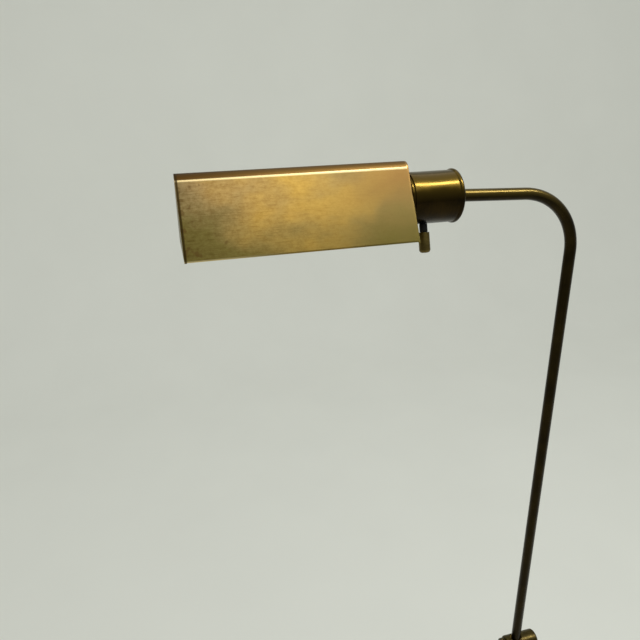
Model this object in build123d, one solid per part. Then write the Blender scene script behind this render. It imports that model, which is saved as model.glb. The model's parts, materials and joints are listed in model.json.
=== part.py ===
from build123d import *
import math
import os

os.makedirs("parts", exist_ok=True)

# Driving dimensions in millimetres and degrees.
# The origin is the middle of the base's underside, +Z is up, and the arm points towards -X.

# Tubes: the bent rod runs beside the fixed stem.
TUBE_R = 6.35
TUBE_WALL = 1.0
TUBE_SPACING = 16.0
BEND_R = 68.0
ARM_RISE = 2.4
ARM_REACH = 147.4
CORNER_Z = 1215.0
ROD_DROP = 780.0

# Base: a spun cover over a cast disc, standing on felt.
BASE_R = 120.0
BASE_EDGE_R = 6.0
BASE_EDGE_Z = 12.0
BASE_DOME_R = 860.0
BASE_LAND_Z = 25.3
COVER_WALL = 1.2
COVER_FOOT_Z = 1.5
PAD_H = 3.0
PAD_R = 118.0
WEIGHT_GAP = 0.1
WEIGHT_Z = PAD_H
NUT_RECESS_R = 24.0
NUT_RECESS_Z = 14.5

# Tie through the base.
TIE_R = 5.3
TIE_TOP_Z = 80.0
TIE_BOTTOM_Z = 4.2
TIE_HOLE_GAP = 0.2
TIE_WASHER_R = 15.0
TIE_WASHER_H = 2.0
TIE_NUT_FLATS = 17.0
TIE_NUT_H = 7.0

# Foot of the stem.
FLANGE_R = 20.0
FLANGE_LIP_H = 2.4
FLANGE_NECK_R = 8.8
FLANGE_SCOOP = 0.3
FLANGE_NECK_Z = 38.0
FLANGE_TOP_Z = 42.0

# Clamp barrel: a horizontal cylinder, centred between the two tubes.
BARREL_Z = 550.0
BARREL_R = 13.0
BARREL_L = 47.2
BARREL_EDGE_R = 2.5
STEM_PLUG_L = 36.0
STEM_PLUG_TOP = 6.0
SET_SCREW_R = 2.5
SET_SCREW_DROP = 2.0
SET_SCREW_RECESS = 1.2
SLOT_W = 0.9
SLOT_D = 1.4

# Split bush, swivel pad, screw and thumb knob.
BUSH_R = 8.5
BUSH_H = 19.0
BUSH_GROOVE_R = 7.3
BUSH_GROOVE_H = 5.6
BUSH_SLIT = 1.2
PAD_BODY_R = 4.4
PAD_NOSE_R = 2.6
PAD_BODY_L = 2.7
PAD_BACK_ROOM = 1.4
SCREW_R = 2.5
KNOB_GAP = 0.8
KNOB_R = 11.0
KNOB_RIM_L = 5.2
KNOB_CROWN_L = 4.2
KNOB_CROWN_R = 8.0
KNOB_CROWN_EDGE_R = 2.9
KNOB_FLUTES = 24
KNOB_FLUTE_R = 0.7

# Lower end of the rod.
FERRULE_R = 7.5
FERRULE_L = 14.0
FERRULE_WALL = 2.0
LEAD_BUSH_R = 4.0
LEAD_BUSH_LIP_R = 5.6
LEAD_BUSH_LIP_H = 2.0
LEAD_R = 2.6

# Swivel between arm and head.
COLLAR_R = 8.5
COLLAR_L = 9.0
ARM_SEAT = 4.5
SPIGOT_R = 4.8
SPIGOT_L = 12.0
SPIGOT_BORE_R = 3.2
WASHER_H = 1.0
WASHER_R = 9.0
SWIVEL_NUT_FLATS = 14.0
SWIVEL_NUT_H = 5.0

# Socket cup and its neck.
CUP_R = 25.6
CUP_WALL = 1.0
CUP_L = 50.8
CUP_BEAD_R = 26.9
CUP_BEAD_L = 4.4
NECK_R = 23.6
NECK_L = 2.2
NECK_BORE_R = 18.5
NECK_PLUG_L = 5.0
NECK_SCREW_PCR = 21.0
NECK_SCREW_R = 1.5
NECK_SCREW_L = 6.0
NECK_SCREW_HEAD_R = 2.8
NECK_SCREW_HEAD_H = 1.8
NECK_SCREW_ANGLES = (90.0, 210.0, 330.0)

# Shade: a folded tent with a round ridge, measured from the cup's axis.
SHADE_L = 218.0
SHADE_RIDGE_R = 10.0
SHADE_TOP = 36.5
SHADE_H = 70.0
SHADE_HALF_W = 43.05
SHEET = 1.0
HEM_H = 5.0
END_L = 2.2
END_EDGE_R = 0.8
END_LIP_L = 5.0

# Lamp socket inside the cup, and its bulb.
SOCKET_R = 17.5
SOCKET_FRONT = -3.0
SOCKET_BACK = 36.0
SOCKET_WELL_R = 14.2
SOCKET_WELL_BACK = 28.0
SOCKET_SHELL_R = 14.1
SOCKET_SHELL_WALL = 0.5
SOCKET_SHELL_FRONT = -1.0
SOCKET_SHELL_BACK = 24.0
SOCKET_SHELL_HOLE_R = 9.0
CAP_R = 13.2
CAP_TAPER = 18.0
CAP_BACK = 22.0
CAP_END_R = 6.5
TIP_R = 4.5
TIP_END_R = 2.2
TIP_BACK = 26.0
BULB_R = 16.0
BULB_NECK_R = 12.6
BULB_SHOULDER = 16.0
BULB_L = 122.0
BULB_WALL = 1.0
CONTACT_L = 18.0
CONTACT_W = 5.0
CONTACT_H = 0.7

# Strap that holds the socket in the cup.
STRAP_R = 22.0
STRAP_HOLE_R = 10.5
STRAP_H = 1.5
STRAP_LEG_W = 10.0
STRAP_LEG_FRONT = 22.0
RIVET_R = 1.6
RIVET_HEAD_R = 3.0
RIVET_HEAD_H = 1.2
RIVET_HEAD_EDGE_R = 0.95
RIVET_PCR = 17.0

# Rotary switch, hanging below the cup and turned a little about the cup's axis.
SWITCH_AT = 18.4
SWITCH_LEAN = 15.0
SWITCH_BODY_W = 16.0
SWITCH_BODY_L = 14.0
SWITCH_BODY_TOP = 12.0
SWITCH_BODY_BOTTOM = 23.0
SHAFT_R = 3.2
SHAFT_TOP = 21.0
SHAFT_BOTTOM = 38.0
SHAFT_HOLE_GAP = 0.4
SWITCH_KNOB_R = 5.6
SWITCH_KNOB_TOP = 34.0
SWITCH_KNOB_BOTTOM = 54.4
SWITCH_KNOB_END_R = 3.2

# Clearances, and how far a cutting shape runs past the face that it cuts.
RUN_FIT = 0.05
SLIDE_FIT = 0.02
SEAT_GAP = 0.1
CUT_PAST = 1.0

# Places worked out from the driving dimensions.
ROD_X = -TUBE_SPACING
TUBE_BORE_R = TUBE_R - TUBE_WALL
RISE = math.radians(ARM_RISE)
ARM_DIR = Vector(-math.cos(RISE), 0, math.sin(RISE))
CORNER = Vector(ROD_X, 0, CORNER_Z)
CUP_BACK = CORNER + ARM_DIR * ARM_REACH
AXIS_Z = CUP_BACK.Z
BACK_X = CUP_BACK.X
CUP_FRONT_X = BACK_X - CUP_L
SHADE_X = CUP_FRONT_X - NECK_L
SHADE_END_X = SHADE_X - SHADE_L
BARREL_LEFT = ROD_X / 2 - BARREL_L / 2
BARREL_RIGHT = ROD_X / 2 + BARREL_L / 2
ROD_BOTTOM_Z = CORNER_Z - ROD_DROP
CUP_AXIS = Axis((0, 0, AXIS_Z), (1, 0, 0))
SHADE_FOOT = SHADE_TOP - SHADE_H


def save(name, shape):
    export_step(shape, f"parts/{name}.step")


def upright(radius, low, high, x=0.0):
    """A cylinder about a vertical line."""
    return Pos(x, 0, (low + high) / 2) * Cylinder(radius, high - low)


def level(radius, left, right, z):
    """A cylinder about a line along X."""
    return Pos((left + right) / 2, 0, z) * Rot(0, 90, 0) * Cylinder(radius, right - left)


def hexagon(flats, height):
    return extrude(RegularPolygon(flats / 2, 6, major_radius=False), height)


def turned_upright(edges):
    """A solid of revolution about the stem, from edges in the XZ plane."""
    return revolve(make_face(edges), Axis.Z)


def turned_level(points):
    """A solid of revolution about the cup's axis, from (x, radius) corners."""
    corners = [(x, 0, AXIS_Z + radius) for x, radius in points]
    return revolve(make_face(Polyline(*corners, close=True)), CUP_AXIS)


# Base.
def base_form(inset, foot_z):
    """The base's solid outline, drawn in by an inset: edge, rounded shoulder, dome and flat land."""
    shoulder_x = BASE_R - BASE_EDGE_R
    dome_z = BASE_EDGE_Z - math.sqrt((BASE_DOME_R - BASE_EDGE_R) ** 2 - shoulder_x**2)
    turn = math.atan2(shoulder_x, BASE_EDGE_Z - dome_z)
    edge_r = BASE_EDGE_R - inset
    dome_r = BASE_DOME_R - inset
    land_z = BASE_LAND_Z - inset
    land_r = math.sqrt(dome_r**2 - (land_z - dome_z) ** 2)
    half = (turn + math.pi / 2) / 2
    middle = (turn + math.asin(land_r / dome_r)) / 2
    corner_mid = (shoulder_x + edge_r * math.sin(half), 0, BASE_EDGE_Z + edge_r * math.cos(half))
    corner_top = (shoulder_x + edge_r * math.sin(turn), 0, BASE_EDGE_Z + edge_r * math.cos(turn))
    dome_mid = (dome_r * math.sin(middle), 0, dome_z + dome_r * math.cos(middle))
    rim = BASE_R - inset
    return turned_upright(
        [
            Line((0, 0, foot_z), (rim, 0, foot_z)),
            Line((rim, 0, foot_z), (rim, 0, BASE_EDGE_Z)),
            ThreePointArc((rim, 0, BASE_EDGE_Z), corner_mid, corner_top),
            ThreePointArc(corner_top, dome_mid, (land_r, 0, land_z)),
            Line((land_r, 0, land_z), (0, 0, land_z)),
            Line((0, 0, land_z), (0, 0, foot_z)),
        ]
    )


def make_base():
    tie_hole = upright(TIE_R + TIE_HOLE_GAP, 0, BASE_LAND_Z + CUT_PAST)
    cover = base_form(0, COVER_FOOT_Z) - base_form(COVER_WALL, 0) - tie_hole
    save("base_cover", cover)

    recess = upright(NUT_RECESS_R, 0, NUT_RECESS_Z)
    weight = base_form(COVER_WALL + WEIGHT_GAP, WEIGHT_Z) - tie_hole - recess
    save("base_weight", weight)
    save("base_pad", upright(PAD_R, 0, PAD_H))

    washer_low = NUT_RECESS_Z - TIE_WASHER_H
    nut_low = washer_low - TIE_NUT_H
    save("tie_stud", upright(TIE_R, TIE_BOTTOM_Z, TIE_TOP_Z))
    save("tie_washer", upright(TIE_WASHER_R, washer_low, NUT_RECESS_Z) - tie_hole)
    nut_hole = upright(TIE_R + RUN_FIT, nut_low, washer_low)
    save("tie_nut", Pos(0, 0, nut_low) * hexagon(TIE_NUT_FLATS, TIE_NUT_H) - nut_hole)


def make_stem():
    bore = TUBE_R + RUN_FIT
    lip_z = BASE_LAND_Z + FLANGE_LIP_H
    scoop_r = FLANGE_NECK_R + (FLANGE_R - FLANGE_NECK_R) * FLANGE_SCOOP
    scoop = (scoop_r, 0, lip_z + (FLANGE_NECK_Z - lip_z) * FLANGE_SCOOP)
    flange = turned_upright(
        [
            Line((bore, 0, BASE_LAND_Z), (FLANGE_R, 0, BASE_LAND_Z)),
            Line((FLANGE_R, 0, BASE_LAND_Z), (FLANGE_R, 0, lip_z)),
            ThreePointArc((FLANGE_R, 0, lip_z), scoop, (FLANGE_NECK_R, 0, FLANGE_NECK_Z)),
            Line((FLANGE_NECK_R, 0, FLANGE_NECK_Z), (FLANGE_NECK_R, 0, FLANGE_TOP_Z)),
            Line((FLANGE_NECK_R, 0, FLANGE_TOP_Z), (bore, 0, FLANGE_TOP_Z)),
            Line((bore, 0, FLANGE_TOP_Z), (bore, 0, BASE_LAND_Z)),
        ]
    )
    save("stem_flange", flange)

    # The stem's upper end is coped to fit the underside of the barrel.
    tube = upright(TUBE_R, BASE_LAND_Z, BARREL_Z) - upright(TUBE_BORE_R, BASE_LAND_Z, BARREL_Z)
    cope = level(BARREL_R + RUN_FIT, BARREL_LEFT, BARREL_RIGHT, BARREL_Z)
    save("stem_tube", tube - cope)

    plug_top = BARREL_Z + STEM_PLUG_TOP
    save("stem_plug", upright(TIE_R, plug_top - STEM_PLUG_L, plug_top))


# Clamp. The pad's nose sits in the bush's groove, so the bush can turn but not climb.
def make_clamp():
    bush_bore = BUSH_R + RUN_FIT
    groove_x = ROD_X - BUSH_GROOVE_R
    pad_front = ROD_X - bush_bore
    pad_shoulder = pad_front - SEAT_GAP
    pad_back = pad_shoulder - PAD_BODY_L
    pad_room = pad_back - PAD_BACK_ROOM

    barrel = level(BARREL_R, BARREL_LEFT, BARREL_RIGHT, BARREL_Z)
    end_edges = barrel.edges().filter_by(GeomType.CIRCLE)
    barrel = fillet(end_edges, BARREL_EDGE_R)
    barrel -= upright(bush_bore, BARREL_Z - BARREL_R, BARREL_Z + BARREL_R, ROD_X)
    barrel -= upright(TIE_R + RUN_FIT, BARREL_Z - BARREL_R, BARREL_Z + STEM_PLUG_TOP + SEAT_GAP)
    barrel -= level(SCREW_R + RUN_FIT, BARREL_LEFT, ROD_X, BARREL_Z)
    barrel -= level(PAD_BODY_R + RUN_FIT, pad_room, ROD_X, BARREL_Z)
    screw_z = BARREL_Z - SET_SCREW_DROP
    barrel -= level(SET_SCREW_R + RUN_FIT, TIE_R, BARREL_RIGHT, screw_z)
    save("clamp_barrel", barrel)

    outer = BARREL_RIGHT - SET_SCREW_RECESS
    grub = level(SET_SCREW_R, TIE_R + SEAT_GAP, outer, screw_z)
    grub -= Pos(outer, 0, screw_z) * Box(2 * SLOT_D, 3 * SET_SCREW_R, SLOT_W)
    save("stem_set_screw", grub)

    low = BARREL_Z - BUSH_H / 2
    high = BARREL_Z + BUSH_H / 2
    bush = upright(BUSH_R, low, high, ROD_X)
    groove_low = BARREL_Z - BUSH_GROOVE_H / 2
    groove_high = BARREL_Z + BUSH_GROOVE_H / 2
    groove = upright(2 * BUSH_R, groove_low, groove_high, ROD_X)
    bush -= groove - upright(BUSH_GROOVE_R, groove_low, groove_high, ROD_X)
    bush -= upright(TUBE_R + SLIDE_FIT, low, high, ROD_X)
    bush -= Pos(ROD_X + BUSH_R, 0, BARREL_Z) * Box(2 * (BUSH_R - TUBE_BORE_R), BUSH_SLIT, BUSH_H)
    save("rod_bush", bush)

    pad = level(PAD_BODY_R, pad_back, pad_shoulder, BARREL_Z)
    pad += level(PAD_NOSE_R, pad_shoulder, ROD_X, BARREL_Z)
    pad -= upright(BUSH_GROOVE_R + RUN_FIT, BARREL_Z - BARREL_R, BARREL_Z + BARREL_R, ROD_X)
    tip_x = (pad_back + groove_x) / 2 - RUN_FIT
    pad -= level(SCREW_R + RUN_FIT, pad_back, tip_x + SEAT_GAP, BARREL_Z)
    save("clamp_pad", pad)

    rim_right = BARREL_LEFT - KNOB_GAP
    rim_left = rim_right - KNOB_RIM_L
    crown_left = rim_left - KNOB_CROWN_L
    save("clamp_screw", level(SCREW_R, rim_left, tip_x, BARREL_Z))

    knob = level(KNOB_R, rim_left, rim_right, BARREL_Z)
    knob += level(KNOB_CROWN_R, crown_left, rim_left, BARREL_Z)
    crown_edge = knob.edges().filter_by(GeomType.CIRCLE).sort_by(Axis.X)[0]
    knob = fillet(crown_edge, KNOB_CROWN_EDGE_R)
    for step in range(KNOB_FLUTES):
        turn = math.radians(360 * step / KNOB_FLUTES)
        flute = level(KNOB_FLUTE_R, rim_left, rim_right, BARREL_Z)
        knob -= Pos(0, KNOB_R * math.cos(turn), KNOB_R * math.sin(turn)) * flute
    knob -= level(SCREW_R + RUN_FIT, rim_left, rim_right, BARREL_Z)
    save("clamp_knob", knob)


# Bent rod.
def along_rod(radius, bottom_z, arm_end):
    """A round bar along the rod's centre line."""
    foot = Vector(ROD_X, 0, bottom_z)
    path = FilletPolyline(foot, CORNER, CORNER + ARM_DIR * arm_end, radius=BEND_R)
    section = Plane(foot, z_dir=(0, 0, 1)) * Circle(radius)
    return sweep(section, path)


def make_rod():
    arm_end = ARM_REACH - ARM_SEAT
    bore = along_rod(TUBE_BORE_R, ROD_BOTTOM_Z, arm_end)
    save("bent_rod", along_rod(TUBE_R, ROD_BOTTOM_Z, arm_end) - bore)

    low = ROD_BOTTOM_Z - FERRULE_WALL
    ferrule = upright(FERRULE_R, low, low + FERRULE_L, ROD_X)
    ferrule -= upright(TUBE_R + RUN_FIT, ROD_BOTTOM_Z, low + FERRULE_L, ROD_X)
    ferrule -= upright(LEAD_BUSH_R + RUN_FIT, low, ROD_BOTTOM_Z, ROD_X)
    save("rod_ferrule", ferrule)

    lead_hole_r = LEAD_R + SEAT_GAP
    lip_low = low - LEAD_BUSH_LIP_H
    bush = upright(LEAD_BUSH_R, low, ROD_BOTTOM_Z + FERRULE_WALL, ROD_X)
    bush += upright(LEAD_BUSH_LIP_R, lip_low, low, ROD_X)
    bush -= upright(lead_hole_r, lip_low, ROD_BOTTOM_Z + FERRULE_WALL, ROD_X)
    save("lead_bush", bush)
    save("inner_lead", along_rod(LEAD_R, low, arm_end))


# Swivel: a collar and spigot on the arm's end, square to the cup.
def make_swivel():
    washer_left = BACK_X + RUN_FIT
    collar_left = BACK_X + WASHER_H
    spigot_left = BACK_X - SPIGOT_L
    collar = level(COLLAR_R, collar_left, collar_left + COLLAR_L, AXIS_Z)
    spigot = collar + level(SPIGOT_R, spigot_left, collar_left, AXIS_Z)
    seat = Plane(CORNER + ARM_DIR * (ARM_REACH - ARM_SEAT), z_dir=ARM_DIR * -1)
    spigot -= seat * (Pos(0, 0, COLLAR_L) * Cylinder(TUBE_R + RUN_FIT, 2 * COLLAR_L))
    spigot -= level(SPIGOT_BORE_R, spigot_left, collar_left + COLLAR_L, AXIS_Z)
    save("swivel_spigot", spigot)

    hole = level(SPIGOT_R + RUN_FIT, spigot_left, collar_left, AXIS_Z)
    save("friction_washer", level(WASHER_R, washer_left, collar_left, AXIS_Z) - hole)
    thrust_right = BACK_X - CUP_WALL - RUN_FIT
    thrust_left = thrust_right - WASHER_H
    save("thrust_washer", level(WASHER_R, thrust_left, thrust_right, AXIS_Z) - hole)
    nut_right = Plane((thrust_left, 0, AXIS_Z), z_dir=(-1, 0, 0))
    save("swivel_nut", nut_right * hexagon(SWIVEL_NUT_FLATS, SWIVEL_NUT_H) - hole)


# Cup and neck.
def switch_bar(radius, near, far):
    """A cylinder along the switch's axis, between two distances from the cup's axis."""
    bar = Pos(0, 0, -(near + far) / 2) * Cylinder(radius, far - near)
    return Pos(SHADE_X + SWITCH_AT, 0, AXIS_Z) * Rot(-SWITCH_LEAN, 0, 0) * bar


def make_cup():
    bead_start = BACK_X - CUP_BEAD_L
    inner_r = CUP_R - CUP_WALL
    inner_x = BACK_X - CUP_WALL
    hole_r = SPIGOT_R + RUN_FIT

    def at(x, radius):
        return (x, 0, AXIS_Z + radius)

    wall = [
        Line(at(CUP_FRONT_X, inner_r), at(CUP_FRONT_X, CUP_R)),
        Line(at(CUP_FRONT_X, CUP_R), at(bead_start, CUP_R)),
        ThreePointArc(
            at(bead_start, CUP_R), at(BACK_X - CUP_BEAD_L / 2, CUP_BEAD_R), at(BACK_X, CUP_R)
        ),
        Line(at(BACK_X, CUP_R), at(BACK_X, hole_r)),
        Line(at(BACK_X, hole_r), at(inner_x, hole_r)),
        Line(at(inner_x, hole_r), at(inner_x, inner_r)),
        Line(at(inner_x, inner_r), at(CUP_FRONT_X, inner_r)),
    ]
    cup = revolve(make_face(wall), CUP_AXIS)
    cup -= switch_bar(SHAFT_R + SHAFT_HOLE_GAP, SHAFT_TOP, SWITCH_KNOB_TOP)
    for side in (1, -1):
        cup -= level(RIVET_R + RUN_FIT, inner_x, BACK_X, AXIS_Z + side * RIVET_PCR)
    save("socket_cup", cup)

    plug_end = CUP_FRONT_X + NECK_PLUG_L
    plug_r = inner_r - RUN_FIT
    neck = turned_level(
        [
            (SHADE_X, NECK_BORE_R),
            (SHADE_X, NECK_R),
            (CUP_FRONT_X, NECK_R),
            (CUP_FRONT_X, plug_r),
            (plug_end, plug_r),
            (plug_end, NECK_BORE_R),
        ]
    )
    screw_holes = neck_screw_bars(NECK_SCREW_R + RUN_FIT, SHADE_X, SHADE_X + NECK_SCREW_L)
    save("cup_neck", neck - screw_holes)


def neck_screw_bars(radius, left, right):
    """Cylinders along X at the places of the neck's screws."""
    bars = []
    for angle in NECK_SCREW_ANGLES:
        turn = math.radians(angle)
        y = NECK_SCREW_PCR * math.cos(turn)
        z = NECK_SCREW_PCR * math.sin(turn)
        bars.append(Pos(0, y, z) * level(radius, left, right, AXIS_Z))
    return bars


# Shade.
def tent(inset, foot, left, right):
    """A bar with the shade's outline, drawn in by an inset and cut level at its foot."""
    ridge_z = SHADE_TOP - SHADE_RIDGE_R
    fall = SHADE_H - SHADE_RIDGE_R
    slant = math.acos(SHADE_RIDGE_R / math.hypot(SHADE_HALF_W, fall)) - math.atan2(fall, SHADE_HALF_W)
    radius = SHADE_RIDGE_R - inset
    side = (radius * math.cos(slant), ridge_z + radius * math.sin(slant))
    corner = ((radius + (ridge_z - foot) * math.sin(slant)) / math.cos(slant), foot)
    other_side = (-side[0], side[1])
    other_corner = (-corner[0], corner[1])
    outline = make_face(
        [
            Line(other_corner, corner),
            Line(corner, side),
            ThreePointArc(side, (0, ridge_z + radius), other_side),
            Line(other_side, other_corner),
        ]
    )
    return extrude(Plane((left, 0, AXIS_Z), x_dir=(0, 1, 0), z_dir=(1, 0, 0)) * outline, right - left)


def make_shade():
    below = SHADE_FOOT - HEM_H
    left = SHADE_END_X + END_L
    right = SHADE_X - END_L
    shell = tent(0, SHADE_FOOT, left, right) - tent(SHEET, below, left, right)
    # The hem is the sheet folded back inside along both lower edges.
    folded = tent(SHEET, SHADE_FOOT, left, right) - tent(2 * SHEET, below, left, right)
    keep = Pos((left + right) / 2, 0, AXIS_Z + SHADE_FOOT + HEM_H / 2)
    folded &= keep * Box(right - left, 2 * SHADE_HALF_W, HEM_H)
    save("shade_shell", shell + folded)

    lip_foot = SHADE_FOOT + HEM_H + SEAT_GAP
    lip_gap = SHEET + SEAT_GAP

    def shade_end(outer, inner):
        """An end plate with a rounded edge outside and a lip inside the sheet."""
        plate = tent(0, SHADE_FOOT, min(outer, inner), max(outer, inner))
        faces = plate.faces().filter_by(Axis.X).sort_by(Axis.X)
        rounded = faces[0] if outer < inner else faces[-1]
        plate = fillet(rounded.edges(), END_EDGE_R)
        reach = inner + (END_LIP_L if outer < inner else -END_LIP_L)
        ends = (min(inner, reach), max(inner, reach))
        lip = tent(lip_gap, lip_foot, *ends) - tent(lip_gap + SHEET, below, *ends)
        return plate + lip

    save("shade_end_outer", shade_end(SHADE_END_X, left))
    inner_end = shade_end(SHADE_X, right)
    inner_end -= level(NECK_BORE_R, right - END_LIP_L, SHADE_X, AXIS_Z)
    inner_end -= neck_screw_bars(NECK_SCREW_R + RUN_FIT, right, SHADE_X)
    save("shade_end_inner", inner_end)

    heads = neck_screw_bars(NECK_SCREW_HEAD_R, right - NECK_SCREW_HEAD_H, right)
    shanks = neck_screw_bars(NECK_SCREW_R, right, SHADE_X + NECK_SCREW_L - SEAT_GAP)
    screws = [head + shank for head, shank in zip(heads, shanks)]
    save("neck_screws", Compound(screws))


# Lamp socket, strap and bulb. Places along the axis are measured from the shade's inner end.
def make_socket():
    def along(points):
        return turned_level([(SHADE_X + at, radius) for at, radius in points])

    body = along([(SOCKET_FRONT, 0), (SOCKET_FRONT, SOCKET_R), (SOCKET_BACK, SOCKET_R), (SOCKET_BACK, 0)])
    body -= level(SOCKET_WELL_R, SHADE_X + SOCKET_FRONT, SHADE_X + SOCKET_WELL_BACK, AXIS_Z)
    save("socket_body", body)

    bore = SOCKET_SHELL_R - SOCKET_SHELL_WALL
    lip = SOCKET_SHELL_BACK - SOCKET_SHELL_WALL
    shell = along(
        [
            (SOCKET_SHELL_FRONT, bore),
            (SOCKET_SHELL_FRONT, SOCKET_SHELL_R),
            (SOCKET_SHELL_BACK, SOCKET_SHELL_R),
            (SOCKET_SHELL_BACK, SOCKET_SHELL_HOLE_R),
            (lip, SOCKET_SHELL_HOLE_R),
            (lip, bore),
        ]
    )
    save("socket_shell", shell)

    front = SOCKET_SHELL_FRONT
    cap = along([(front, 0), (front, CAP_R), (CAP_TAPER, CAP_R), (CAP_BACK, CAP_END_R), (CAP_BACK, 0)])
    save("bulb_cap", cap)
    save("bulb_tip", along([(CAP_BACK, 0), (CAP_BACK, TIP_R), (TIP_BACK, TIP_END_R), (TIP_BACK, 0)]))
    save("bulb_glass", bulb_form(SHADE_X + front, 0) - bulb_form(SHADE_X + front, BULB_WALL))

    # The contact is a tongue behind the bulb's tip, with a foot that reaches the well's floor.
    tongue_x = SHADE_X + TIP_BACK + SEAT_GAP
    tongue = Pos(tongue_x + CONTACT_H / 2, 0, AXIS_Z) * Box(CONTACT_H, CONTACT_W, CONTACT_L)
    foot_l = SOCKET_WELL_BACK - TIP_BACK - SEAT_GAP
    foot = Pos(tongue_x + foot_l / 2, 0, AXIS_Z + CONTACT_L / 2) * Box(foot_l, CONTACT_W, CONTACT_H)
    save("socket_contact", tongue + foot)

    strap_right = BACK_X - CUP_WALL - RUN_FIT
    strap_left = strap_right - STRAP_H
    strap = level(STRAP_R, strap_left, strap_right, AXIS_Z)
    strap -= level(STRAP_HOLE_R, strap_left, strap_right, AXIS_Z)
    leg_left = SHADE_X + STRAP_LEG_FRONT
    leg_l = strap_left - leg_left
    for side in (1, -1):
        leg_y = side * (SOCKET_R + SEAT_GAP + STRAP_H / 2)
        strap += Pos(leg_left + leg_l / 2, leg_y, AXIS_Z) * Box(leg_l, STRAP_H, STRAP_LEG_W)
    rivets = []
    for side in (1, -1):
        z = AXIS_Z + side * RIVET_PCR
        strap -= level(RIVET_R + RUN_FIT, strap_left, strap_right, z)
        head = level(RIVET_HEAD_R, BACK_X, BACK_X + RIVET_HEAD_H, z)
        head_edge = head.edges().filter_by(GeomType.CIRCLE).sort_by(Axis.X)[-1]
        head = fillet(head_edge, RIVET_HEAD_EDGE_R)
        tail = level(RIVET_HEAD_R, strap_left - RIVET_HEAD_H, strap_left, z)
        rivets.append(head + tail + level(RIVET_R, strap_left, BACK_X, z))
    save("socket_strap", strap)
    save("strap_rivets", Compound(rivets))


def bulb_form(front, inset):
    """A tubular bulb about the cup's axis: neck, shoulder, straight body and round end."""
    body = BULB_R - inset
    neck = BULB_NECK_R - inset
    shoulder_x = front - BULB_SHOULDER
    tip_centre = front - BULB_L + BULB_R
    end_x = tip_centre - body
    diagonal = body * math.cos(math.radians(45))
    outline = [
        Line((front, 0, AXIS_Z), (front, 0, AXIS_Z + neck)),
        Spline(
            (front, 0, AXIS_Z + neck),
            (shoulder_x, 0, AXIS_Z + body),
            tangents=[(-1, 0, 0), (-1, 0, 0)],
        ),
        Line((shoulder_x, 0, AXIS_Z + body), (tip_centre, 0, AXIS_Z + body)),
        ThreePointArc(
            (tip_centre, 0, AXIS_Z + body),
            (tip_centre - diagonal, 0, AXIS_Z + diagonal),
            (end_x, 0, AXIS_Z),
        ),
        Line((end_x, 0, AXIS_Z), (front, 0, AXIS_Z)),
    ]
    return revolve(make_face(outline), CUP_AXIS)


# Rotary switch.
def make_switch():
    reach = (SWITCH_BODY_TOP + SWITCH_BODY_BOTTOM) / 2
    block = Pos(0, 0, -reach) * Box(SWITCH_BODY_L, SWITCH_BODY_W, SWITCH_BODY_BOTTOM - SWITCH_BODY_TOP)
    block = Pos(SHADE_X + SWITCH_AT, 0, AXIS_Z) * Rot(-SWITCH_LEAN, 0, 0) * block
    block -= level(SOCKET_R + RUN_FIT, CUP_FRONT_X, BACK_X, AXIS_Z)
    block &= level(CUP_R - CUP_WALL - SEAT_GAP, CUP_FRONT_X, BACK_X, AXIS_Z)
    block -= switch_bar(SHAFT_R + RUN_FIT, SHAFT_TOP, SWITCH_BODY_BOTTOM + CUT_PAST)
    save("switch_body", block)

    save("switch_shaft", switch_bar(SHAFT_R, SHAFT_TOP + SEAT_GAP, SHAFT_BOTTOM))
    knob = switch_bar(SWITCH_KNOB_R, SWITCH_KNOB_TOP, SWITCH_KNOB_BOTTOM)
    end_edge = knob.edges().filter_by(GeomType.CIRCLE).sort_by(Axis.Z)[0]
    knob = fillet(end_edge, SWITCH_KNOB_END_R)
    save("switch_knob", knob - switch_bar(SHAFT_R + SLIDE_FIT, SWITCH_KNOB_TOP, SHAFT_BOTTOM))


make_base()
make_stem()
make_clamp()
make_rod()
make_swivel()
make_cup()
make_shade()
make_socket()
make_switch()
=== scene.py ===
import json
import math
from collections import namedtuple

import bmesh
import bpy
from mathutils import Matrix, Vector


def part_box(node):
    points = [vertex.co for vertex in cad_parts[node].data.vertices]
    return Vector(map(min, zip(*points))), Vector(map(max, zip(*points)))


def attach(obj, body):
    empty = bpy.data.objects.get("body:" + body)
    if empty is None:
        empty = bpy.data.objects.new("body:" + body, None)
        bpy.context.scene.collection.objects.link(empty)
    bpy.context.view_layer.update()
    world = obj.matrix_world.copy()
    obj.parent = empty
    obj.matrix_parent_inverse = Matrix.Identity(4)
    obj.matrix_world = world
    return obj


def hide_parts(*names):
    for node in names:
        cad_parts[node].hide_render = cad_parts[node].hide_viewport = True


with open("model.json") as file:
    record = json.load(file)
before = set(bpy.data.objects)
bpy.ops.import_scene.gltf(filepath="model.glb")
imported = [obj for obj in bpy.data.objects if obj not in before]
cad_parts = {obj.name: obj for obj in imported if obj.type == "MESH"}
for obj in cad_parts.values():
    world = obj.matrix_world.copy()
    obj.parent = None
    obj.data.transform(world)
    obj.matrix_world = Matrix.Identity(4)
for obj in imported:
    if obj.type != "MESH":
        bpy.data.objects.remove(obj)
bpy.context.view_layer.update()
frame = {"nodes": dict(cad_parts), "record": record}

# Sizes are in metres, and those of the lamp are written in millimetres.
# Places come from the boxes of the CAD nodes.
MM = 0.001
TUBE_WALL = 1.0 * MM
BEND_R = 68.0 * MM
ARM_RISE = math.radians(2.4)
CUP_R = 25.6 * MM
CUP_WALL = 1.0 * MM
CUP_HOLE_R = 4.85 * MM
CUP_BEAD_L = 4.4 * MM
NECK_R = 23.6 * MM
NECK_BORE_R = 18.5 * MM
NECK_PLUG_L = 5.0 * MM
RIDGE_R = 10.0 * MM
SHEET = 1.0 * MM
HEM_H = 5.0 * MM
HEM_GAP = 0.3 * MM
FLAT_EDGE = 0.8 * MM
LIP_L = 5.0 * MM
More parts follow.
